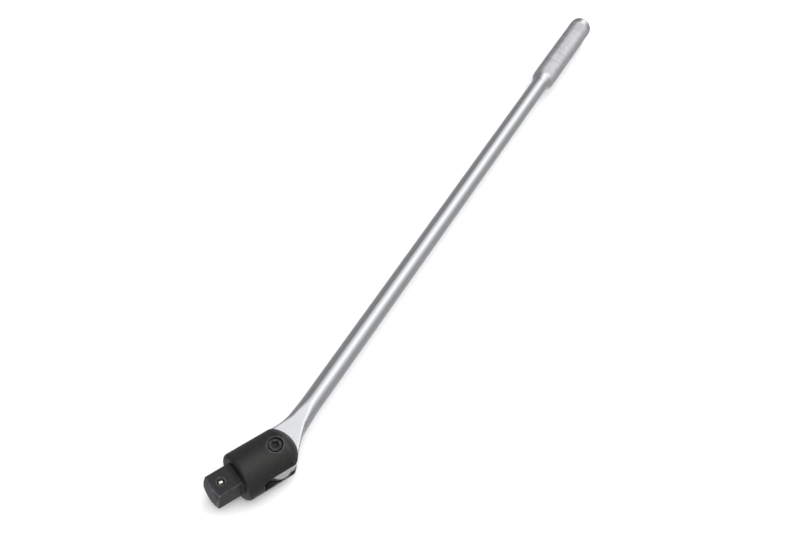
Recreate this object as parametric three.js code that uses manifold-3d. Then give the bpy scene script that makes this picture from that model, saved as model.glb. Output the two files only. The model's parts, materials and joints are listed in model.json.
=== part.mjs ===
// Flex-head drive handle (breaker bar) with a 3/4 inch square drive.
// Millimetres. The tool lies flat: +X runs along the bar to the grip, +Z is the axis of the
// pivot pin, and the head is bent towards +Y. The pin's axis is the origin of every shape;
// the last lines move the whole tool so that it stands on Z = 0, centred in X and Y.
import * as THREE from "three";
import { mergeVertices } from "three/addons/utils/BufferGeometryUtils.js";
import Module from "manifold-3d";

const wasm = await Module();
wasm.setup();

// Driving dimensions
const overallLength = 647; // drive end to grip end, head in line with the bar
const driveSize = 19.05; // across flats, 3/4 inch square
const headDiameter = 37;
const barDiameter = 15.3;
const gripDiameter = 21.8;
const gripLength = 113.4;
const bendAngle = THREE.MathUtils.degToRad(23.6); // head out of line with the bar
const fitGap = 0.3; // between neighbouring faces

// Head, measured from the pin's axis towards the drive
const headRadius = headDiameter / 2;
const driveReach = 52.6; // pin axis to the end of the drive
const shoulderReach = 31.8; // pin axis to the front shoulder
const shoulderFillet = 2.9;
const driveRoot = 4; // length of drive buried in the head
const domeRadius = 22; // round back of the head
const domeCentre = 4.6;
const driveCornerRadius = 1.4;
const driveNoseRadius = 8.9; // flat circle on the drive's end
const driveNoseSteepness = 2.8; // radius gained for each millimetre back from the end
const slotWidth = 13.8;
const slotFloor = 19.6;
const slotFillet = 2.9;

// Hinge
const tangThickness = 12.4;
const tangRadius = 16.4;
const pinRadius = 4.7;
const pinThreadRadius = 4; // M8 in the lower ear
const pinSunk = 1; // pin ends below the head's surface
const pinChamfer = 0.6;
const counterboreRadius = 6;
const counterboreDepth = 3;
const hexAcrossFlats = 5.5; // 7/32 inch key
const hexDepth = 2.2;
const bushWall = 1.5;
const washerRadius = 8.5;
const washerThickness = 0.4;

// Socket retainer in the drive's upper flat
const ballRadius = 3;
const ballReach = 44.3; // pin axis to the ball
const ballStandOut = 1.3;
const ballBoreDepth = 14;
const ballLip = 0.2; // the bore's mouth is staked in to this much less than the ball's radius
const ballLipDepth = 1.2;
const springWire = 0.7;
const springTurns = 6;
const springStepsPerTurn = 12;

// Bar and grip, measured from the pin's axis towards the grip
const barRadius = barDiameter / 2;
const gripRadius = gripDiameter / 2;
const gripEnd = overallLength - driveReach;
const gripStart = gripEnd - gripLength;
const flareShort = 27; // most of the tang's extra width is gone this far from the pin
const flareLong = 54; // and the rest of it, with the flats, this far
const flareShortShare = 0.7;
const flatsFull = 31.3; // the flats start to run out here
const sideBulge = 0.55; // the flare's sides stand this much above the bar's radius
const bulgeFull = 21.6;
const bulgeGone = 36.2;
const boxyExponent = 6; // superellipse section near the tang
const ovalExponent = 2; // plain ellipse further out
const boxyFull = 11.9;
const boxyGone = 34;
const gripShoulder = 10;
const gripNeckWall = 0.5; // sleeve's wall where its shoulder starts
const plugLength = 10;
const plugStub = 5;
const plugStubGap = 0.2; // the stub is this much slimmer than the bar's radius
const plugRound = 7;

// Facets
const roundSegments = 40;
const smallSegments = 32;
const ballSegments = 24;
const arcSteps = 8;
const cornerSteps = 4;
const filletSteps = 5;
const flareStations = 22;

// ---- Geometry helpers ----

function toSolid(geometry) {
  const bare = geometry.clone();
  bare.deleteAttribute("normal");
  bare.deleteAttribute("uv");
  const merged = mergeVertices(bare);
  const index = merged.index.array;
  const triangles = [];
  for (let i = 0; i < index.length; i += 3) {
    const [a, b, c] = index.slice(i, i + 3);
    if (a !== b && b !== c && c !== a) triangles.push(a, b, c);
  }
  const vertProperties = merged.attributes.position.array;
  const triVerts = new Uint32Array(triangles);
  return new wasm.Manifold(new wasm.Mesh({ numProp: 3, vertProperties, triVerts }));
}

function toGeometry(solid) {
  const { vertProperties, triVerts } = solid.getMesh();
  const geometry = new THREE.BufferGeometry();
  geometry.setAttribute("position", new THREE.BufferAttribute(vertProperties, 3));
  geometry.setIndex(new THREE.BufferAttribute(triVerts, 1));
  return geometry;
}

const point = (x, y) => new THREE.Vector2(x, y);

// Points of an arc in a profile, both ends included
function arc(centreX, centreY, radius, fromDegrees, toDegrees, steps = arcSteps) {
  const points = [];
  for (let i = 0; i <= steps; i += 1) {
    const angle = THREE.MathUtils.degToRad(fromDegrees + ((toDegrees - fromDegrees) * i) / steps);
    points.push(point(centreX + radius * Math.cos(angle), centreY + radius * Math.sin(angle)));
  }
  return points;
}

// Solids of revolution, from a profile of (radius, distance along the axis)
function turnedAlongZ(profile, segments) {
  return new THREE.LatheGeometry(profile, segments).rotateX(Math.PI / 2);
}

function turnedAlongX(profile, segments) {
  return new THREE.LatheGeometry(profile, segments).rotateZ(-Math.PI / 2);
}

function rodAlongZ(radius, low, high, segments = smallSegments) {
  return turnedAlongZ([point(0, low), point(radius, low), point(radius, high), point(0, high)], segments);
}

function ringAlongZ(innerRadius, outerRadius, low, high) {
  const outer = toSolid(rodAlongZ(outerRadius, low, high));
  return toGeometry(outer.subtract(toSolid(rodAlongZ(innerRadius, low - 1, high + 1))));
}

// A rounded square across the X axis, from one X to another
function squareBar(size, cornerRadius, low, high) {
  const half = size / 2;
  const inner = half - cornerRadius;
  const outline = new THREE.Shape([
    ...arc(inner, inner, cornerRadius, 0, 90, cornerSteps),
    ...arc(-inner, inner, cornerRadius, 90, 180, cornerSteps),
    ...arc(-inner, -inner, cornerRadius, 180, 270, cornerSteps),
    ...arc(inner, -inner, cornerRadius, 270, 360, cornerSteps),
  ]);
  const bar = new THREE.ExtrudeGeometry(outline, { depth: high - low, bevelEnabled: false });
  return bar.rotateY(Math.PI / 2).translate(low, 0, 0);
}

// ---- Head ----

function headBody() {
  const backAngle = THREE.MathUtils.radToDeg(Math.acos(headRadius / domeRadius));
  const dome = arc(0, domeCentre, domeRadius, -90, -backAngle);
  dome[0].x = 0;
  const filletRadius = headRadius - shoulderFillet;
  const shoulder = arc(filletRadius, shoulderReach - shoulderFillet, shoulderFillet, 0, 90, filletSteps);
  return toSolid(turnedAlongX([...dome, ...shoulder, point(0, shoulderReach)], roundSegments));
}

function squareDrive() {
  const square = toSolid(squareBar(driveSize, driveCornerRadius, shoulderReach - driveRoot, driveReach));
  const coneBack = driveReach - (driveSize - driveNoseRadius) / driveNoseSteepness;
  const nose = turnedAlongX([
    point(0, 0),
    point(driveSize, 0),
    point(driveSize, coneBack),
    point(driveNoseRadius, driveReach),
    point(0, driveReach),
  ], roundSegments);
  return square.intersect(toSolid(nose));
}

// The slot for the tang, open at the back and on both sides
function slotCut() {
  const half = slotWidth / 2;
  const open = -2 * headRadius;
  const filletX = slotFloor - slotFillet;
  const filletY = half - slotFillet;
  const outline = new THREE.Shape([
    point(open, -half),
    ...arc(filletX, -filletY, slotFillet, -90, 0, filletSteps),
    ...arc(filletX, filletY, slotFillet, 0, 90, filletSteps),
    point(open, half),
  ]);
  const cut = new THREE.ExtrudeGeometry(outline, { depth: 4 * headRadius, bevelEnabled: false });
  return toSolid(cut.rotateX(Math.PI / 2).translate(0, 2 * headRadius, 0));
}

function ballBoreCut() {
  const face = driveSize / 2;
  const bore = ballRadius + fitGap;
  const lip = ballRadius - ballLip;
  const profile = [
    point(0, face - ballBoreDepth),
    point(bore, face - ballBoreDepth),
    point(bore, face - ballLipDepth),
    point(lip, face),
    point(lip, face + 1),
    point(0, face + 1),
  ];
  return toSolid(turnedAlongZ(profile, smallSegments).translate(ballReach, 0, 0));
}

function swivelHead() {
  const past = headRadius + 1;
  return toGeometry(
    headBody()
      .add(squareDrive())
      .subtract(slotCut())
      .subtract(toSolid(rodAlongZ(pinRadius + fitGap, 0, past)))
      .subtract(toSolid(rodAlongZ(counterboreRadius, headRadius - counterboreDepth, past)))
      .subtract(toSolid(rodAlongZ(pinThreadRadius + fitGap, -past, 0)))
      .subtract(ballBoreCut()),
  );
}

function pivotPin() {
  const top = headRadius - pinSunk;
  const earFace = slotWidth / 2 - fitGap / 2; // the pin's shoulder seats on the lower ear
  const body = turnedAlongZ([
    point(0, -top),
    point(pinThreadRadius - pinChamfer, -top),
    point(pinThreadRadius, -top + pinChamfer),
    point(pinThreadRadius, -earFace),
    point(pinRadius, -earFace),
    point(pinRadius, top - pinChamfer),
    point(pinRadius - pinChamfer, top),
    point(0, top),
  ], smallSegments);
  const cornerRadius = hexAcrossFlats / Math.sqrt(3);
  const socket = new THREE.CylinderGeometry(cornerRadius, cornerRadius, 2 * hexDepth, 6);
  const mouth = turnedAlongZ([
    point(0, top - cornerRadius),
    point(cornerRadius + 1, top + 1),
    point(0, top + 1),
  ], smallSegments);
  return toGeometry(
    toSolid(body)
      .subtract(toSolid(socket.rotateX(Math.PI / 2).translate(0, 0, top)))
      .subtract(toSolid(mouth)),
  );
}

// ---- Detent ----

const ballCentre = driveSize / 2 + ballStandOut - ballRadius;
const springFloor = driveSize / 2 - ballBoreDepth + fitGap;
const springTop = ballCentre - ballRadius - fitGap;

function detentBall() {
  const profile = arc(0, 0, ballRadius, -90, 90, ballSegments / 2);
  profile[0].x = 0;
  profile[profile.length - 1].x = 0;
  return toGeometry(toSolid(turnedAlongZ(profile, ballSegments)));
}

class SpringCurve extends THREE.Curve {
  getPoint(along) {
    const angle = along * springTurns * 2 * Math.PI;
    const radius = ballRadius - springWire;
    const low = springFloor + springWire / 2;
    const rise = springTop - springWire / 2 - low;
    return new THREE.Vector3(radius * Math.cos(angle), radius * Math.sin(angle), low + along * rise);
  }
}

function detentSpring() {
  const section = new THREE.Shape(arc(0, 0, springWire / 2, 0, 360).slice(0, -1));
  const steps = springTurns * springStepsPerTurn;
  const settings = { steps, extrudePath: new SpringCurve(), bevelEnabled: false };
  return new THREE.ExtrudeGeometry(section, settings);
}

// ---- Bar ----

const smooth = (from, to, value) => THREE.MathUtils.smoothstep(value, from, to);

// The bar's section at a distance from the pin: boxy and cut off flat above and below near
// the tang, and a plain circle beyond the flare.
function barSection(along) {
  const blend = (near, far, from, to) => near + (far - near) * smooth(from, to, along);
  return {
    halfWidth: blend(tangRadius, barRadius, 0, flareShort) * flareShortShare
      + blend(tangRadius, barRadius, 0, flareLong) * (1 - flareShortShare),
    halfHeight: blend(barRadius + sideBulge, barRadius, bulgeFull, bulgeGone),
    halfFlat: blend(tangThickness / 2, barRadius, flatsFull, flareLong),
    exponent: blend(boxyExponent, ovalExponent, boxyFull, boxyGone),
  };
}

const rounded = (value, exponent) => Math.sign(value) * Math.abs(value) ** (2 / exponent);

// One closed skin through a row of sections, with a fan over each end
function barLoft(barEnd) {
  const stations = [];
  for (let i = 0; i <= flareStations; i += 1) stations.push((flareLong * i) / flareStations);
  stations.push((gripStart + flareLong) / 2, gripStart, barEnd);
  const positions = [];
  const indices = [];
  for (const along of stations) {
    const { halfWidth, halfHeight, halfFlat, exponent } = barSection(along);
    for (let j = 0; j < roundSegments; j += 1) {
      const angle = (2 * Math.PI * j) / roundSegments;
      const y = halfWidth * rounded(Math.cos(angle), exponent);
      const z = halfHeight * rounded(Math.sin(angle), exponent);
      positions.push(along, y, THREE.MathUtils.clamp(z, -halfFlat, halfFlat));
    }
  }
  for (let i = 0; i + 1 < stations.length; i += 1) {
    for (let j = 0; j < roundSegments; j += 1) {
      const a = i * roundSegments + j;
      const b = i * roundSegments + ((j + 1) % roundSegments);
      indices.push(a, b, a + roundSegments, b, b + roundSegments, a + roundSegments);
    }
  }
  const ends = [[0, 0, 1], [stations.length - 1, barEnd, -1]];
  for (const [row, along, turn] of ends) {
    const centre = positions.length / 3;
    positions.push(along, 0, 0);
    for (let j = 0; j < roundSegments; j += 1) {
      const a = row * roundSegments + j;
      const b = row * roundSegments + ((j + 1) % roundSegments);
      indices.push(centre, turn > 0 ? b : a, turn > 0 ? a : b);
    }
  }
  const geometry = new THREE.BufferGeometry();
  geometry.setAttribute("position", new THREE.Float32BufferAttribute(positions, 3));
  geometry.setIndex(indices);
  return geometry;
}

function handleBar() {
  const flat = tangThickness / 2;
  const tangBore = pinRadius + fitGap + bushWall + fitGap;
  return toGeometry(
    toSolid(barLoft(gripEnd - plugLength - plugStub - fitGap))
      .add(toSolid(rodAlongZ(tangRadius, -flat, flat, roundSegments)))
      .subtract(toSolid(rodAlongZ(tangBore, -2 * flat, 2 * flat))),
  );
}

function pivotBush() {
  const inner = pinRadius + fitGap;
  const half = tangThickness / 2;
  return ringAlongZ(inner, inner + bushWall, -half, half);
}

function frictionWasher(side) {
  const middle = (side * (slotWidth + tangThickness)) / 4;
  const low = middle - washerThickness / 2;
  return ringAlongZ(pinRadius + fitGap, washerRadius, low, low + washerThickness);
}

// ---- Grip ----

function gripSleeve() {
  const bore = barRadius + fitGap;
  const sleeveEnd = gripEnd - plugLength;
  const neck = bore + gripNeckWall;
  const rise = gripRadius - neck;
  const profile = [point(bore, gripStart), point(neck, gripStart)];
  for (let i = 1; i <= arcSteps; i += 1) {
    const along = (gripShoulder * i) / arcSteps;
    profile.push(point(neck + rise * smooth(0, gripShoulder, along), gripStart + along));
  }
  profile.push(point(gripRadius, sleeveEnd), point(bore, sleeveEnd), point(bore, gripStart));
  return turnedAlongX(profile, roundSegments);
}

function gripEndPlug() {
  const base = gripEnd - plugLength + fitGap;
  const stubRadius = barRadius - plugStubGap;
  return turnedAlongX([
    point(0, base - plugStub),
    point(stubRadius, base - plugStub),
    point(stubRadius, base),
    point(gripRadius, base),
    ...arc(gripRadius - plugRound, gripEnd - plugRound, plugRound, 0, 90),
    point(0, gripEnd),
  ], roundSegments);
}

// ---- Materials ----

function metal(color, roughness) {
  return new THREE.MeshStandardMaterial({ color, roughness, metalness: 1 });
}

const satinChrome = () => metal(0xd6d8dc, 0.32);
const blackPhosphate = () => metal(0x37373a, 0.55);
const brightSteel = () => metal(0xe6e4de, 0.15);
const springSteel = () => metal(0x6f6c66, 0.4);
const bronze = () => metal(0xa87b46, 0.45);

function part(name, geometry, material) {
  const mesh = new THREE.Mesh(geometry, material);
  mesh.name = name;
  return mesh;
}

// ---- Assembly ----

const ball = part("detent_ball", detentBall(), brightSteel());
ball.position.set(ballReach, 0, ballCentre);
const spring = part("detent_spring", detentSpring(), springSteel());
spring.position.set(ballReach, 0, 0);

// The head's own +X points to the drive, so it is turned to face away from the grip
const head = new THREE.Group();
head.rotation.z = Math.PI - bendAngle;
head.add(
  part("swivel_head", swivelHead(), blackPhosphate()),
  part("pivot_pin", pivotPin(), blackPhosphate()),
  part("friction_washer_upper", frictionWasher(1), springSteel()),
  part("friction_washer_lower", frictionWasher(-1), springSteel()),
  spring,
  ball,
);

const handle = new THREE.Group();
handle.add(
  part("handle_bar", handleBar(), satinChrome()),
  part("pivot_bush", pivotBush(), bronze()),
  part("grip_sleeve", gripSleeve(), satinChrome()),
  part("grip_end_plug", gripEndPlug(), satinChrome()),
);

const breakerBar = new THREE.Group();
breakerBar.add(head, handle);
const extent = new THREE.Box3().setFromObject(breakerBar, true);
const middle = extent.getCenter(new THREE.Vector3());
breakerBar.position.set(-middle.x, -middle.y, -extent.min.z);

export default breakerBar;
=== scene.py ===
"""A flex-head drive handle: a knurled chrome grip, a long satin bar and a black square-drive
head that swivels on a pin."""
import json
from math import atan2, cos, pi, radians, sin, sqrt

import bpy
import numpy as np
from mathutils import Matrix, Vector


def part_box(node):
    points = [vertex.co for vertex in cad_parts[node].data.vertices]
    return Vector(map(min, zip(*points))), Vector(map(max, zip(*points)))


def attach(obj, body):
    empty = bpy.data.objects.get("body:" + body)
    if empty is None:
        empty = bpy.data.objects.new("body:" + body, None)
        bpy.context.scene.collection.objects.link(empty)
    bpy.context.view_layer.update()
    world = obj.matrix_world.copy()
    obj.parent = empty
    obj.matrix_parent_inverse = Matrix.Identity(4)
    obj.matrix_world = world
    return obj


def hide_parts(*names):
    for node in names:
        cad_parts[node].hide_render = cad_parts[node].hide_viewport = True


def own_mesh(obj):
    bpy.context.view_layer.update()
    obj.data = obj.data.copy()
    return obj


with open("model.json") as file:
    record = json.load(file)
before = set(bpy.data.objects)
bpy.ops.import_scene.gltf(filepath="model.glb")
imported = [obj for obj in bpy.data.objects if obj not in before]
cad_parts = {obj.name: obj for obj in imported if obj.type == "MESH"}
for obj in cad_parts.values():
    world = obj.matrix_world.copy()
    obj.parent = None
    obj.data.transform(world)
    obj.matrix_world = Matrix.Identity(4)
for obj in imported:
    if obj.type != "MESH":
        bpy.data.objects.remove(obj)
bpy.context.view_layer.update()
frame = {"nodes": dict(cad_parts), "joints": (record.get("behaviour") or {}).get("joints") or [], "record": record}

scene = bpy.context.scene
MM = 0.001

# ---- Places, from the frame ----

joints = {joint["name"]: joint for joint in frame["joints"]}
mounts = {mount["name"]: mount for mount in frame["record"]["mounts"]}
PIN = Vector(joints["head_swivel"]["pos_m"])
DRIVE_WAY = Vector(mounts["drive_end"]["axis"])
DRIVE_REACH = (Vector(mounts["drive_end"]["pos_m"]) - PIN).length / MM
# Shapes are made about the pin in millimetres, with +X to the drive for the head and to the
# grip for the handle; these two matrices put them in the row frame
HANDLE = Matrix.Translation(PIN) @ Matrix.Diagonal((MM, MM, MM, 1))
HEAD = HANDLE @ Matrix.Rotation(atan2(DRIVE_WAY.y, DRIVE_WAY.x), 4, "Z")


def box_height(node):
    low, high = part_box(node)
    return (high.z - low.z) / MM


def along_handle(x):
    return (x - PIN.x) / MM


HEAD_RADIUS = box_height("swivel_head") / 2
BAR_RADIUS = box_height("handle_bar") / 2
BAR_END = along_handle(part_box("handle_bar")[1].x)
TANG_RADIUS = -along_handle(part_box("handle_bar")[0].x)
TANG_HALF = box_height("pivot_bush") / 2
GRIP_RADIUS = box_height("grip_sleeve") / 2
GRIP_START, GRIP_JOIN = [along_handle(corner.x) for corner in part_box("grip_sleeve")]
PLUG_START, GRIP_END = [along_handle(corner.x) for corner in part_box("grip_end_plug")]
PIN_HALF = box_height("pivot_pin") / 2
BALL_RADIUS = box_height("detent_ball") / 2
BALL_PLACE = (sum(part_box("detent_ball"), Vector()) / 2 - PIN) / MM
BALL_REACH = BALL_PLACE.to_2d().length
SPRING_LOW, SPRING_HIGH = [(corner.z - PIN.z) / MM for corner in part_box("detent_spring")]
WASHER_MIDDLE = (sum(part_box("friction_washer_upper"), Vector()).z / 2 - PIN.z) / MM

# ---- Sizes in millimetres ----

CLEARANCE = 0.3
# Head: places along it are measured from the pin
SHOULDER = 31.8
SHOULDER_FILLET = 2.9
DOME_CENTRE = 4.6
DOME_RADIUS = 22
DOME_EDGE = 0.8
DRIVE_HALF = 19.05 / 2
DRIVE_CORNER = 1.4
DRIVE_END_EDGE = 0.4
DRIVE_ROOT_FILLET = 0.9
NOSE_RADIUS = 8.9
NOSE_STEEPNESS = 2.8
NOSE_EDGE = 0.5
SLOT_HALF = 6.9
SLOT_FLOOR = 19.6
SLOT_FILLET = 2.9
SLOT_EDGE = 0.6
COUNTERBORE = 6
COUNTERBORE_DEPTH = 3
BORE_EDGE = 0.35
BALL_BORE_DEPTH = 14
BALL_BORE_EDGE = 0.2
BALL_LIP = 0.5
BALL_LIP_DEPTH = 1.2
HEAD_CELL = 0.36    # of the mesh
# Pin, bush, washers and spring
PIN_RADIUS = 4.7
PIN_THREAD = 4
PIN_CHAMFER = 0.6
PIN_STEP_EDGE = 0.2
PIN_CELL = 0.2
HEX_HALF = 5.5 / 2
HEX_DEPTH = 2.2
HEX_EDGE = 0.15
BUSH_INNER = PIN_RADIUS + CLEARANCE
BUSH_OUTER = BUSH_INNER + 1.5
BUSH_CHAMFER = 0.25
BUSH_GAP = 0.05    # between the bush and its bore, so that their skins stay apart
WASHER_INNER = PIN_RADIUS + CLEARANCE
WASHER_OUTER = 8.5
WASHER_THICK = 0.4
WASHER_EDGE = 0.1
WASHER_WAVE = 0.1
WASHER_WAVES = 3
SPRING_WIRE = 0.7
SPRING_TURNS = 6
# Bar: how far from the pin each change in its section starts and ends
FLARE_SHORT = 27
FLARE_LONG = 54
FLARE_SHORT_SHARE = 0.7
SIDE_BULGE = 0.55
BULGE = (21.6, 36.2)
FLATS = (31.3, FLARE_LONG)
BOXY = (11.9, 34)
BOXY_EXPONENT = 6
OVAL_EXPONENT = 2
TANG_FILLET = 1.5
FLAT_EDGE = 0.5
# Grip
GRIP_SHOULDER = 10
SLEEVE_LIP = 0.04    # thickness where the sleeve meets the bar
SLEEVE_GRIP = 0.02    # the sleeve's bore is this much smaller than the bar
SLEEVE_END_EDGE = 0.3
SLEEVE_END_DROP = 0.05    # of the rim where that edge starts
PLUG_ROUND = 7
PLUG_SEAM = 0.25
PLUG_STUB_GAP = 0.2
TIP = 0.1    # radius of the small flat that closes a turned end
KNURL_STARTS = 36
KNURL_SAMPLES = 8    # to one pitch
KNURL_STRETCH = 1.4    # a diamond's length for its width
KNURL_CREST = 0.34    # a crest's edge is this share of a pitch from its groove
KNURL_DEPTH = 0.2
KNURL_FADE_IN = 12    # rows
KNURL_FADE_OUT = 4


# ---- Distance functions, on arrays of points in millimetres ----

def round_cut(a, b, radius):
    """The part that is in both a and b, its edge rounded."""
    u = np.maximum(a + radius, 0)
    v = np.maximum(b + radius, 0)
    return np.minimum(np.maximum(a, b), -radius) + np.hypot(u, v)


def round_join(a, b, radius):
    """The part that is in a or b, its inner corner filleted."""
    return -round_cut(-a, -b, radius)


def smooth_step(low, high, value):
    t = np.clip((value - low) / (high - low), 0, 1)
    return t * t * (3 - 2 * t)


def rounded_square(y, z, half, corner):
    qy = np.abs(y) - half + corner
    qz = np.abs(z) - half + corner
    outside = np.hypot(np.maximum(qy, 0), np.maximum(qz, 0))
    return outside + np.minimum(np.maximum(qy, qz), 0) - corner


def head_distance(p):
    x, y, z = p.T
    across = np.hypot(y, z)
    dome = np.hypot(np.minimum(x - DOME_CENTRE, 0), across) - DOME_RADIUS
    body = round_cut(across - HEAD_RADIUS, x - SHOULDER, SHOULDER_FILLET)
    body = round_cut(body, dome, DOME_EDGE)
    cone = across - NOSE_RADIUS + NOSE_STEEPNESS * (x - DRIVE_REACH)
    cone = cone / sqrt(1 + NOSE_STEEPNESS**2)
    drive = round_cut(rounded_square(y, z, DRIVE_HALF, DRIVE_CORNER), cone, NOSE_EDGE)
    drive = round_cut(drive, x - DRIVE_REACH, DRIVE_END_EDGE)
    drive = np.maximum(drive, SLOT_FLOOR + SLOT_FILLET - x)
    solid = round_join(body, drive, DRIVE_ROOT_FILLET)
    slot = round_cut(x - SLOT_FLOOR, np.abs(z) - SLOT_HALF, SLOT_FILLET)
    solid = round_cut(solid, -slot, SLOT_EDGE)
    from_pin = np.hypot(x, y)
    bore = from_pin - np.where(z > 0, PIN_RADIUS, PIN_THREAD) - CLEARANCE
    counterbore = np.maximum(from_pin - COUNTERBORE, HEAD_RADIUS - COUNTERBORE_DEPTH - z)
    solid = round_cut(solid, -np.minimum(bore, counterbore), BORE_EDGE)
    from_ball = np.hypot(x - BALL_REACH, y)
    lip = BALL_LIP * np.clip(1 + (z - DRIVE_HALF) / BALL_LIP_DEPTH, 0, 1)
    wall = from_ball - BALL_RADIUS - CLEARANCE + lip
    ball_bore = np.maximum(wall, DRIVE_HALF - BALL_BORE_DEPTH - z)
    return round_cut(solid, -ball_bore, BALL_BORE_EDGE)


def pin_distance(p):
    x, y, z = p.T
    from_axis = np.hypot(x, y)
    shank = round_cut(from_axis - PIN_RADIUS, z - PIN_HALF, PIN_CHAMFER)
    shank = round_cut(shank, -z - SLOT_HALF + CLEARANCE / 2, PIN_STEP_EDGE)
    thread = round_cut(from_axis - PIN_THREAD, -z - PIN_HALF, PIN_CHAMFER)
    solid = np.minimum(shank, np.maximum(thread, z))
    hexagon = np.full(len(p), -np.inf)
    for side in range(3):
        angle = side * pi / 3
        hexagon = np.maximum(hexagon, np.abs(x * cos(angle) + y * sin(angle)) - HEX_HALF)
    socket = np.maximum(hexagon, PIN_HALF - HEX_DEPTH - z)
    mouth = (from_axis - HEX_HALF * 2 / sqrt(3) + PIN_HALF - z) / sqrt(2)
    return round_cut(solid, -np.minimum(socket, mouth), HEX_EDGE)


def bar_section(along):
    """The bar's half width, half height, half thickness over its flats, and how boxy it is."""
    def blend(near, far, start, end):
        return near + (far - near) * smooth_step(start, end, along)

    short = blend(TANG_RADIUS, BAR_RADIUS, 0, FLARE_SHORT)
    long = blend(TANG_RADIUS, BAR_RADIUS, 0, FLARE_LONG)
    half_width = FLARE_SHORT_SHARE * short + (1 - FLARE_SHORT_SHARE) * long
    half_height = blend(BAR_RADIUS + SIDE_BULGE, BAR_RADIUS, *BULGE)
    half_flat = blend(TANG_HALF, BAR_RADIUS, *FLATS)
    exponent = blend(BOXY_EXPONENT, OVAL_EXPONENT, *BOXY)
    return half_width, half_height, half_flat, exponent


def bar_distance(p):
    x, y, z = p.T
    width, height, flat, exponent = bar_section(np.maximum(x, 0))
    ratio = (np.abs(y) / width) ** exponent + (np.abs(z) / height) ** exponent
    oval = (ratio ** (1 / exponent) - 1) * height
    outline = round_join(np.maximum(oval, -x), np.hypot(x, y) - TANG_RADIUS, TANG_FILLET)
    return round_cut(outline, np.abs(z) - flat, FLAT_EDGE)


def gradient(distance, p, step=0.02):
    slopes = []
    for axis in np.eye(3):
        slopes.append((distance(p + axis * step) - distance(p - axis * step)) / (2 * step))
    return np.stack(slopes, axis=1)


def settle(distance, p, rounds=8):
    """Moves points on to the surface where the distance is zero."""
    least_slope = 0.2    # keeps a point near an edge from being thrown far off
    for _ in range(rounds):
        slope = gradient(distance, p)
        size = np.maximum((slope**2).sum(1), least_slope)
        p = p - (distance(p) / size)[:, None] * slope
    return p


def bend_of(distance, p, reach=0.6):
    """How far the surface turns away round each point: above 0 on outer edges, below 0 in inner
    corners."""
    total = -6 * distance(p)
    for axis in np.eye(3):
        total = total + distance(p + axis * reach) + distance(p - axis * reach)
    return total / reach


# ---- Mesh helpers ----

def add_object(name, verts, faces, place=None):
    mesh = bpy.data.meshes.new(name)
    mesh.from_pydata([tuple(v) for v in verts], [], faces)
    if place is not None:
        mesh.transform(place)
    mesh.update()
    obj = bpy.data.objects.new(name, mesh)
    scene.collection.objects.link(obj)
    return obj


def apply_modifiers(obj):
    depsgraph = bpy.context.evaluated_depsgraph_get()
    mesh = bpy.data.meshes.new_from_object(obj.evaluated_get(depsgraph))
    obj.modifiers.clear()
    obj.data = mesh


def shade(obj, degrees):
    """Smooth shading, with edges sharper than this left crisp."""
    obj.data.shade_smooth()
    obj.data.set_sharp_from_angle(angle=radians(degrees))


def skin(rows, loop=False, open_ends=False):
    """Vertices and faces of a skin through rings of points. Where loop is true the last ring
    joins the first; otherwise a face closes each end, unless they stay open."""
    count = len(rows[0])
    verts = [point for row in rows for point in row]
    faces = []
    for i in range(len(rows) if loop else len(rows) - 1):
        a = i * count
        b = (i + 1) % len(rows) * count
        for j in range(count):
            k = (j + 1) % count
            faces.append((a + j, a + k, b + k, b + j))
    if not (loop or open_ends):
        last = (len(rows) - 1) * count
        faces.append(tuple(reversed(range(count))))
        faces.append(tuple(range(last, last + count)))
    return verts, faces


def ring_of(along, radius, segments, axis):
    ring = []
    for j in range(segments):
        angle = 2 * pi * j / segments
        c, s = radius * cos(angle), radius * sin(angle)
        ring.append((along, c, s) if axis == "X" else (c, s, along))
    return ring


def turned(name, profile, segments, place, axis, **ends):
    """A shape turned about an axis, from a profile of (distance along, radius)."""
    rows = [ring_of(along, radius, segments, axis) for along, radius in profile]
    verts, faces = skin(rows, **ends)
    return add_object(name, verts, faces, place)


def arc(centre_along, centre_radius, radius, start, end, steps):
    """Profile points on an arc, its angles in degrees from the axis."""
    points = []
    for i in range(steps + 1):
        angle = radians(start + (end - start) * i / steps)
        points.append((centre_along + radius * cos(angle), centre_radius + radius * sin(angle)))
    return points


def mark(obj, name, values):
    """Writes one number per point, for a material to read."""
    attribute = obj.data.attributes.new(name, "FLOAT", "POINT")
    attribute.data.foreach_set("value", np.asarray(values, np.float32))


def fine_skin(name, node, distance, cell, place):
    """A close even mesh over a CAD node, settled on the surface that distance gives."""
    source = frame["nodes"][node]
    obj = bpy.data.objects.new(name, source.data.copy())
    scene.collection.objects.link(obj)
    obj.data.transform(place.inverted())
    remesh = obj.modifiers.new("cells", "REMESH")
    remesh.mode = "VOXEL"
    remesh.voxel_size = cell
    apply_modifiers(obj)
    p = np.empty(len(obj.data.vertices) * 3)
    obj.data.vertices.foreach_get("co", p)
    p = settle(distance, p.reshape(-1, 3))
    obj.data.vertices.foreach_set("co", p.ravel())
    mark(obj, "edge", bend_of(distance, p))
    mark(obj, "along", p[:, 0])
    obj.data.transform(place)
    obj.data.update()
    obj.data.materials.clear()
    return obj


# ---- Materials ----

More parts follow.
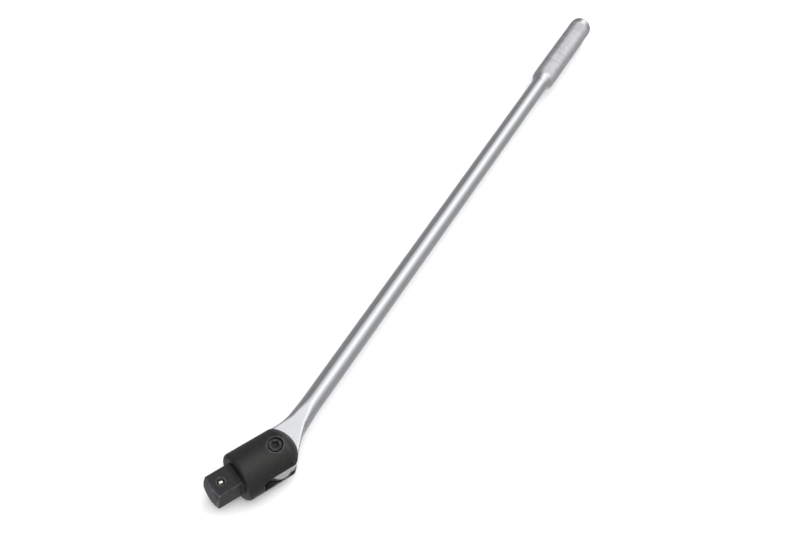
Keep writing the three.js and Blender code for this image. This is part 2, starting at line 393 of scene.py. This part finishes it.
class Finish:
    """A node material, built up one layer at a time."""

    def __init__(self, name, colour, metallic, roughness):
        self.material = bpy.data.materials.new(name)
        self.material.use_nodes = True
        self.tree = self.material.node_tree
        self.shader = self.tree.nodes["Principled BSDF"]
        self.shader.inputs["Base Color"].default_value = (*colour, 1)
        self.shader.inputs["Metallic"].default_value = metallic
        self.shader.inputs["Roughness"].default_value = roughness
        self.where = self.node("ShaderNodeTexCoord").outputs["Object"]

    def node(self, kind, **settings):
        node = self.tree.nodes.new(kind)
        for key, value in settings.items():
            setattr(node, key, value)
        return node

    def put(self, socket, value):
        if isinstance(value, bpy.types.NodeSocket):
            self.tree.links.new(value, socket)
        else:
            socket.default_value = value

    def noise(self, grain, detail=3, stretch=(1, 1, 1)):
        """Noise whose grains are about this many millimetres across, drawn out by stretch."""
        mapping = self.node("ShaderNodeMapping")
        self.put(mapping.inputs["Vector"], self.where)
        mapping.inputs["Scale"].default_value = [1 / (grain * MM * s) for s in stretch]
        texture = self.node("ShaderNodeTexNoise")
        texture.inputs["Scale"].default_value = 1
        texture.inputs["Detail"].default_value = detail
        self.put(texture.inputs["Vector"], mapping.outputs["Vector"])
        return texture.outputs["Fac"]

    def span(self, value, low, high, out_low, out_high):
        """The value, with low to high drawn out to out_low to out_high and held beyond them."""
        node = self.node("ShaderNodeMapRange")
        self.put(node.inputs["Value"], value)
        self.put(node.inputs["From Min"], low)
        self.put(node.inputs["From Max"], high)
        self.put(node.inputs["To Min"], out_low)
        self.put(node.inputs["To Max"], out_high)
        return node.outputs["Result"]

    def spread(self, noise, out_low, out_high):
        """Noise, with its usual range of values drawn out to out_low to out_high."""
        return self.span(noise, 0.3, 0.7, out_low, out_high)

    def math(self, operation, a, b):
        node = self.node("ShaderNodeMath", operation=operation)
        self.put(node.inputs[0], a)
        self.put(node.inputs[1], b)
        return node.outputs["Value"]

    def mix(self, share, a, b):
        """Colour a, changing to colour b as share goes from 0 to 1."""
        node = self.node("ShaderNodeMix", data_type="RGBA")
        self.put(node.inputs["Factor"], share)
        # The colour sockets share their names with others of this node, so they go by number
        for number, colour in ((6, a), (7, b)):
            is_socket = isinstance(colour, bpy.types.NodeSocket)
            self.put(node.inputs[number], colour if is_socket else (*colour, 1))
        return node.outputs[2]

    def attribute(self, name):
        return self.node("ShaderNodeAttribute", attribute_name=name).outputs["Fac"]

    def colour(self, value):
        self.put(self.shader.inputs["Base Color"], value)

    def roughness(self, value):
        self.put(self.shader.inputs["Roughness"], value)

    def bump(self, height, depth):
        """Surface relief of this many millimetres from height 0 to 1."""
        node = self.node("ShaderNodeBump")
        node.inputs["Distance"].default_value = depth * MM
        self.put(node.inputs["Height"], height)
        self.put(self.shader.inputs["Normal"], node.outputs["Normal"])


LONG = (60, 1, 1)    # grain drawn out along the bar


def satin(finish):
    """Colour and roughness of satin chrome with a fine lengthwise polish and faint clouds."""
    polish = finish.noise(0.35, 4, LONG)
    cloud = finish.noise(14, 2, (3, 1, 1))
    colour = finish.mix(finish.spread(cloud, 0, 1), (0.75, 0.765, 0.785), (0.78, 0.79, 0.81))
    rough = finish.math("ADD", finish.spread(polish, 0.23, 0.30), finish.spread(cloud, -0.01, 0.02))
    return polish, colour, rough


def satin_chrome(name):
    finish = Finish(name, (0.76, 0.775, 0.795), 1, 0.27)
    polish, colour, rough = satin(finish)
    finish.colour(colour)
    finish.roughness(rough)
    finish.bump(polish, 0.004)
    return finish.material


def knurled_chrome(name):
    """Satin chrome; over the knurl bright in smears on the crests, and in the grooves rougher and painted dark as
    painted shade.
    """
    finish = Finish(name, (0.88, 0.88, 0.92), 1, 0.3)
    polish, plain, rough = satin(finish)
    smear = finish.noise(3, 3, (1, 4, 4))
    crest = finish.attribute("crest")
    knurled = finish.attribute("knurled")
    bright = finish.mix(finish.span(smear, 0.35, 0.65, 0, 1), (0.78, 0.78, 0.82), (0.97, 0.97, 1.0))
    # Painted shade: the grooves' colour is darkened to 0.40 for the shade in the knurl's hollows
    groove = finish.span(crest, 0, 0.35, 1, 0)
    finish.colour(finish.mix(knurled, plain, finish.mix(groove, bright, (0.40, 0.40, 0.42))))
    finish.roughness(finish.math("ADD", rough, finish.span(crest, 0, 1, 0.14, 0)))
    finish.bump(polish, 0.004)
    return finish.material


def black_phosphate(name, shade_of=1):
    """Oiled black phosphate: a fine crystal grain, brown and blue casts, greyed on worn edges, and a painted sheen
    that lightens the drive's nose.
    """
    def dark(*colour):
        return tuple(shade_of * part for part in colour)

    finish = Finish(name, dark(0.03, 0.03, 0.032), 0.6, 0.45)
    grain = finish.noise(0.22, 4)
    cloud = finish.noise(7, 3)
    patch = finish.noise(2.2, 4)
    along = finish.attribute("along")
    edge = finish.attribute("edge")
    brown = dark(0.031, 0.030, 0.026)
    blue = dark(0.030, 0.031, 0.033)
    cast_and_sheen = finish.mix(finish.span(cloud, 0.35, 0.65, 0, 1), brown, blue)
    on_drive = finish.span(along, SHOULDER - 3, SHOULDER + 2, 0, 1)
    cast_and_sheen = finish.mix(on_drive, cast_and_sheen, dark(0.026, 0.026, 0.029))
    # Painted sheen: the nose is painted lighter and bluer for the light its sloping end catches
    on_nose = finish.span(along, DRIVE_REACH - 2.5, DRIVE_REACH - 0.5, 0, 1)
    cast_and_sheen = finish.mix(on_nose, cast_and_sheen, dark(0.048, 0.054, 0.065))
    base = finish.mix(finish.span(patch, 0.45, 0.75, 0, 0.5), cast_and_sheen, dark(0.050, 0.048, 0.044))
    patchy = finish.span(patch, 0.35, 0.65, 0.25, 1)
    worn = finish.math("MULTIPLY", finish.span(edge, 0.25, 0.8, 0, 1), patchy)
    finish.colour(finish.mix(worn, base, dark(0.16, 0.16, 0.165)))
    smoother = finish.math("MULTIPLY", worn, 0.12)
    finish.roughness(finish.math("SUBTRACT", finish.spread(grain, 0.38, 0.52), smoother))
    finish.bump(grain, 0.02)
    return finish.material


def ball_steel(name):
    # Painted reflection: the ball's colour is painted dark, far below bright steel, for the dim room it reflects;
    # its glints come from the glint lamps
    finish = Finish(name, (0.22, 0.215, 0.2), 1, 0.14)
    scuff = finish.noise(0.4, 4)
    scuffed = finish.span(scuff, 0.4, 0.7, 0, 1)
    finish.colour(finish.mix(scuffed, (0.19, 0.185, 0.17), (0.26, 0.25, 0.22)))
    finish.roughness(finish.spread(scuff, 0.1, 0.2))
    finish.bump(scuff, 0.003)
    return finish.material


def spring_steel(name):
    finish = Finish(name, (0.33, 0.32, 0.30), 1, 0.35)
    grain = finish.noise(0.3, 4)
    stain = finish.noise(2.5, 3)
    stained = finish.span(stain, 0.4, 0.7, 0, 1)
    finish.colour(finish.mix(stained, (0.36, 0.35, 0.33), (0.24, 0.21, 0.18)))
    finish.roughness(finish.spread(grain, 0.28, 0.45))
    finish.bump(grain, 0.008)
    return finish.material


def bush_bronze(name):
    finish = Finish(name, (0.5, 0.34, 0.18), 1, 0.45)
    pores = finish.noise(0.25, 4)
    stain = finish.noise(3, 3)
    stained = finish.span(stain, 0.35, 0.7, 0, 1)
    finish.colour(finish.mix(stained, (0.52, 0.36, 0.19), (0.30, 0.20, 0.11)))
    finish.roughness(finish.spread(pores, 0.36, 0.58))
    finish.bump(pores, 0.015)
    return finish.material


# ---- Pieces of the head ----

head = fine_skin("swivel_head_forging", "swivel_head", head_distance, HEAD_CELL, HEAD)
shade(head, 50)
head.data.materials.append(black_phosphate("black_phosphate"))

pin = fine_skin("hinge_pin", "pivot_pin", pin_distance, PIN_CELL, HEAD)
shade(pin, 40)
pin.data.materials.append(black_phosphate("pin_phosphate", 0.7))


def make_ball():
    steps = 40
    profile = arc(BALL_PLACE.z, 0, BALL_RADIUS, 180, 0, steps)[1:-1]
    place = HEAD @ Matrix.Translation((BALL_REACH, 0, 0))
    ball = turned("retaining_ball", profile, 2 * steps, place, "Z")
    shade(ball, 40)
    ball.data.materials.append(ball_steel("ball_steel"))
    return ball


def make_spring():
    """Round wire wound in a helix, its end coils lying flat."""
    coil_radius = BALL_RADIUS - SPRING_WIRE
    wire_radius = SPRING_WIRE / 2
    low = SPRING_LOW + wire_radius
    high = SPRING_HIGH - wire_radius
    flat_share = 1 / SPRING_TURNS
    steps = 30 * SPRING_TURNS
    sides = 10
    rows = []
    for i in range(steps + 1):
        share = i / steps
        angle = 2 * pi * SPRING_TURNS * share
        rise = float(smooth_step(0, 1, share)) * flat_share + share * (1 - flat_share)
        middle = low + (high - low) * rise
        row = []
        for j in range(sides):
            turn = 2 * pi * j / sides
            radius = coil_radius + wire_radius * cos(turn)
            z = middle + wire_radius * sin(turn)
            row.append((radius * cos(angle), radius * sin(angle), z))
        rows.append(row)
    verts, faces = skin(rows)
    place = HEAD @ Matrix.Translation((BALL_REACH, 0, 0))
    spring = add_object("retaining_spring", verts, faces, place)
    shade(spring, 60)
    spring.data.materials.append(spring_steel("spring_steel"))
    return spring


def make_washer(name, middle, steel):
    """A thin spring washer with shallow waves."""
    segments = 96
    half = WASHER_THICK / 2
    inner, outer = WASHER_INNER, WASHER_OUTER
    soft = WASHER_EDGE
    section = [
        (inner, -half + soft), (inner, half - soft), (inner + soft, half),
        (outer - soft, half), (outer, half - soft), (outer, -half + soft),
        (outer - soft, -half), (inner + soft, -half),
    ]
    rows = []
    for j in range(segments):
        angle = 2 * pi * j / segments
        wave = WASHER_WAVE * sin(WASHER_WAVES * angle)
        rows.append([(r * cos(angle), r * sin(angle), middle + z + wave) for r, z in section])
    verts, faces = skin(rows, loop=True)
    washer = add_object(name, verts, faces, HEAD)
    shade(washer, 30)
    washer.data.materials.append(steel)
    return washer


ball = make_ball()
spring = make_spring()
washer_steel = spring_steel("washer_steel")
washers = [
    make_washer("wave_washer_upper", WASHER_MIDDLE, washer_steel),
    make_washer("wave_washer_lower", -WASHER_MIDDLE, washer_steel),
]


# ---- Pieces of the handle ----

def bar_rows(stations, count):
    """Rings of points where the bar's surface is, searched outward from its axis. The same
    points of every ring follow the edges of the flats."""
    halvings = 40
    turns = 2 * pi * np.arange(count) / count
    rows = []
    for along in stations:
        width, _, flat, _ = bar_section(max(along, 0))
        if along < 0:
            width = sqrt(TANG_RADIUS**2 - along**2)
        angles = np.arctan2(flat * np.sin(turns), width * np.cos(turns))
        low = np.zeros(count)
        high = np.full(count, 1.5 * TANG_RADIUS)    # well outside the bar
        for _ in range(halvings):
            middle = (low + high) / 2
            ring = (np.full(count, along), middle * np.cos(angles), middle * np.sin(angles))
            inside = bar_distance(np.stack(ring, axis=1)) < 0
            low = np.where(inside, middle, low)
            high = np.where(inside, high, middle)
        rows.append([(along, r * cos(a), r * sin(a)) for r, a in zip(low, angles)])
    return rows


def make_bar():
    """The bar in one skin from the round end of the tang to the grip, bored for the bush."""
    tang_start = 3    # degrees round the tang from its end, where the first ring lies
    tang_steps = 28
    flare_steps = 60
    rod_steps = 12
    flare_end = 1.2 * FLARE_LONG
    stations = []
    for i in range(tang_steps):
        angle = radians(tang_start + (90 - tang_start) * i / tang_steps)
        stations.append(-TANG_RADIUS * cos(angle))
    stations += [flare_end * i / flare_steps for i in range(flare_steps)]
    stations += [flare_end + (BAR_END - flare_end) * i / rod_steps for i in range(rod_steps + 1)]
    verts, faces = skin(bar_rows(stations, 192))
    bar = add_object("handle_bar_forging", verts, faces, HANDLE)
    past = 2 * TANG_HALF
    bore = BUSH_OUTER + BUSH_GAP
    drill = turned("drill", [(-past, bore), (past, bore)], 96, HANDLE, "Z")
    cut = bar.modifiers.new("bore", "BOOLEAN")
    cut.operation = "DIFFERENCE"
    cut.solver = "EXACT"
    cut.object = drill
    apply_modifiers(bar)
    bpy.data.objects.remove(drill)
    shade(bar, 35)
    bar.data.materials.append(satin_chrome("satin_chrome"))
    return bar


def make_bush():
    half = TANG_HALF
    soft = BUSH_CHAMFER
    profile = [
        (-half + soft, BUSH_INNER), (-half, BUSH_INNER + soft), (-half, BUSH_OUTER),
        (half, BUSH_OUTER), (half, BUSH_INNER + soft), (half - soft, BUSH_INNER),
    ]
    bush = turned("tang_bush", profile, 96, HANDLE, "Z", loop=True)
    shade(bush, 30)
    bush.data.materials.append(bush_bronze("bush_bronze"))
    return bush


def sleeve_radius(along):
    """The sleeve's radius under its knurl: it swells from the bar over the shoulder."""
    neck = BAR_RADIUS + SLEEVE_LIP
    rise = float(smooth_step(GRIP_START, GRIP_START + GRIP_SHOULDER, along))
    return neck + (GRIP_RADIUS - neck) * rise


def knurl_height(i, j):
    """Height from 0 in a groove to 1 on a crest: flat-topped pyramids between two crossing sets
    of grooves."""
    heights = [1]
    for phase in ((i + j) % KNURL_SAMPLES, (i - j) % KNURL_SAMPLES):
        heights.append(min(phase, KNURL_SAMPLES - phase) / (KNURL_CREST * KNURL_SAMPLES))
    return min(heights)


def split_along_grooves(quads, columns, first_row):
    """Each square as two triangles, split the way its groove runs."""
    faces = []
    for number, (a, b, c, d) in enumerate(quads):
        row, column = divmod(number, columns)
        if (row - first_row + column) % 2:
            faces += [(a, b, d), (b, c, d)]
        else:
            faces += [(a, b, c), (a, c, d)]
    return faces


def make_sleeve():
    """The sleeve, with a diamond knurl cut by two crossing sets of helical grooves. Its points
    carry how high on a diamond they are and how far the knurl has faded in."""
    columns = KNURL_SAMPLES * KNURL_STARTS
    row_step = KNURL_STRETCH * 2 * pi * GRIP_RADIUS / columns
    plain_length = GRIP_SHOULDER / 2
    plain_steps = 8
    knurl_start = GRIP_START + plain_length
    knurl_rows = int((GRIP_JOIN - 2 * SLEEVE_END_EDGE - knurl_start) / row_step)
    rows = []
    crest = []
    knurled = []

    def add_plain(along, radius):
        rows.append(ring_of(along, radius, columns, "X"))
        crest.extend([1] * columns)
        knurled.extend([0] * columns)

    for i in range(plain_steps):
        along = GRIP_START + plain_length * i / plain_steps
        add_plain(along, sleeve_radius(along))
    for i in range(knurl_rows + 1):
        along = knurl_start + row_step * i
        fade = min(1, i / KNURL_FADE_IN, (knurl_rows - i) / KNURL_FADE_OUT)
        row = []
        for j in range(columns):
            angle = 2 * pi * j / columns
            sunk = fade * (1 - knurl_height(i, j))
            radius = sleeve_radius(along) - KNURL_DEPTH * sunk
            row.append((along, radius * cos(angle), radius * sin(angle)))
            crest.append(1 - sunk)
        knurled.extend([fade] * columns)
        rows.append(row)
    bore = BAR_RADIUS - SLEEVE_GRIP
    add_plain(GRIP_JOIN - SLEEVE_END_EDGE, GRIP_RADIUS - SLEEVE_END_DROP)
    add_plain(GRIP_JOIN, GRIP_RADIUS - SLEEVE_END_EDGE)
    add_plain(GRIP_JOIN, bore)
    add_plain(GRIP_START, bore)
    verts, quads = skin(rows, loop=True)
    faces = split_along_grooves(quads, columns, plain_steps)
    sleeve = add_object("knurled_sleeve", verts, faces, HANDLE)
    mark(sleeve, "crest", crest)
    mark(sleeve, "knurled", knurled)
    shade(sleeve, 25)
    sleeve.data.materials.append(knurled_chrome("knurled_chrome"))
    return sleeve


def make_plug():
    """The domed end, with a chamfered seam where it meets the sleeve."""
    stub = BAR_RADIUS - PLUG_STUB_GAP
    base = GRIP_JOIN + CLEARANCE
    profile = [
        (PLUG_START, TIP), (PLUG_START, stub), (base, stub),
        (base, GRIP_RADIUS - PLUG_SEAM), (base + PLUG_SEAM, GRIP_RADIUS),
    ]
    profile += arc(GRIP_END - PLUG_ROUND, GRIP_RADIUS - PLUG_ROUND, PLUG_ROUND, 90, 0, 18)
    profile.append((GRIP_END, TIP))
    plug = turned("grip_end_cap", profile, 128, HANDLE, "X")
    shade(plug, 35)
    plug.data.materials.append(satin_chrome("end_cap_chrome"))
    return plug


bar = make_bar()
bush = make_bush()
sleeve = make_sleeve()
plug = make_plug()

# ---- Each piece on its body ----

for piece, body, node, slot in (
    (head, "head", "swivel_head", "black_phosphate"),
    (pin, "head", "pivot_pin", "black_phosphate"),
    (washers[0], "head", "friction_washer_upper", "spring_steel"),
    (washers[1], "head", "friction_washer_lower", "spring_steel"),
    (spring, "head", "detent_spring", "spring_steel"),
    (ball, "ball", "detent_ball", "ball_steel"),
    (bar, "handle", "handle_bar", "satin_chrome"),
    (bush, "handle", "pivot_bush", "bush_bronze"),
    (sleeve, "handle", "grip_sleeve", "knurled_chrome"),
    (plug, "handle", "grip_end_plug", "satin_chrome"),
):
    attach(piece, body)
    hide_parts(node)

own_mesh(spring)

# ---- Stage ----

# Sizes in metres
FLOOR_MIDDLE = 0.0001    # radius of the innermost ring
FLOOR_REACH = 2.4
SWEEP = 1.2
WALL_TOP = 3.5

# A flat floor that sweeps up to a round wall
floor_profile = [(0, FLOOR_MIDDLE), (0, FLOOR_REACH)]
floor_profile += [(z + SWEEP, r) for z, r in arc(0, FLOOR_REACH, SWEEP, 180, 90, 24)]
floor_profile.append((WALL_TOP, FLOOR_REACH + SWEEP))
floor = turned("floor", floor_profile, 96, None, "Z", open_ends=True)
shade(floor, 60)
paper = Finish("pale_floor", (0.93, 0.93, 0.93), 0, 0.9)
floor.data.materials.append(paper.material)
floor.visible_glossy = False

# The camera looks down on the tool from beyond its head
EYE = PIN + Vector((-0.3319, -0.1647, 0.7016))
RIGHT = Vector((0.47018, -0.87018, 0.14735))
FORWARD = Vector((0.59570, 0.19037, -0.78032))
RIGHT = (RIGHT - RIGHT.dot(FORWARD) * FORWARD).normalized()
UP = RIGHT.cross(FORWARD)
camera_data = bpy.data.cameras.new("camera")
camera_data.sensor_width = 36
camera_data.lens = 48.94
camera = bpy.data.objects.new("camera", camera_data)
scene.collection.objects.link(camera)
turn = Matrix((RIGHT, UP, -FORWARD)).transposed().to_4x4()
camera.matrix_world = Matrix.Translation(EYE) @ turn
scene.camera = camera

# The studio: a long soft light overhead, a little towards -Y, in a dimmer room. Brightness goes
# by the direction's angle from straight up, turned towards +Y.
LIGHT_BY_ANGLE = (
    (-180, 0.70), (-160, 0.58), (-134, 0.36), (-112, 0.40), (-95, 0.35), (-79, 0.34), (-65, 0.42),
    (-51, 0.60), (-38, 0.87), (-26, 1.16), (-13, 1.38), (-1, 1.45), (12, 1.16), (25, 0.42), (38, 0.23),
    (52, 0.24), (86, 0.27), (107, 0.31), (142, 0.38), (160, 0.60), (180, 0.70),
)
world = bpy.data.worlds.new("studio")
world.use_nodes = True
nodes = world.node_tree.nodes
links = world.node_tree.links
direction = nodes.new("ShaderNodeTexCoord").outputs["Generated"]
parts = nodes.new("ShaderNodeSeparateXYZ")
links.new(direction, parts.inputs["Vector"])
angle = nodes.new("ShaderNodeMath")
angle.operation = "ARCTAN2"
links.new(parts.outputs["Y"], angle.inputs[0])
links.new(parts.outputs["Z"], angle.inputs[1])
share = nodes.new("ShaderNodeMapRange")
share.inputs["From Min"].default_value = -pi
share.inputs["From Max"].default_value = pi
links.new(angle.outputs["Value"], share.inputs["Value"])
ramp = nodes.new("ShaderNodeValToRGB")
ramp.color_ramp.interpolation = "B_SPLINE"
peak = max(light for _, light in LIGHT_BY_ANGLE)
stops = ramp.color_ramp.elements
while len(stops) < len(LIGHT_BY_ANGLE):
    stops.new(0.5)
for stop, (degrees, light) in zip(stops, LIGHT_BY_ANGLE):
    stop.position = (degrees + 180) / 360
    stop.color = (light / peak, light / peak, light / peak, 1)
links.new(share.outputs["Result"], ramp.inputs["Fac"])
background = nodes["Background"]
background.inputs["Strength"].default_value = peak
links.new(ramp.outputs["Color"], background.inputs["Color"])
scene.world = world


def add_lamp(name, target, way, distance, size, power):
    """A rectangular lamp this far from the target, facing it."""
    data = bpy.data.lights.new(name, "AREA")
    data.shape = "RECTANGLE"
    data.size, data.size_y = size
    data.energy = power
    lamp = bpy.data.objects.new(name, data)
    lamp.location = target + Vector(way).normalized() * distance
    lamp.rotation_euler = Vector(way).to_track_quat("Z", "Y").to_euler()
    scene.collection.objects.link(lamp)
    return lamp


# A wide soft light overhead, for the floor and the dark head
key = add_lamp("key", target=Vector(), way=(0, -0.15, 1), distance=2, size=(3, 3), power=46)
key.visible_glossy = False

# Two window-like lamps that only the ball reflects
glint_receivers = bpy.data.collections.new("glint_receivers")
glint_receivers.objects.link(ball)
ball_top = HEAD @ Vector((BALL_REACH, 0, BALL_PLACE.z + BALL_RADIUS))
for name, way in (("glint_left", (-0.376, 0.204, 0.901)), ("glint_right", (0.274, -0.381, 0.883))):
    glint = add_lamp(name, target=ball_top, way=way, distance=1.5, size=(0.8, 0.95), power=22)
    glint.light_linking.receiver_collection = glint_receivers

scene.view_settings.view_transform = "Standard"
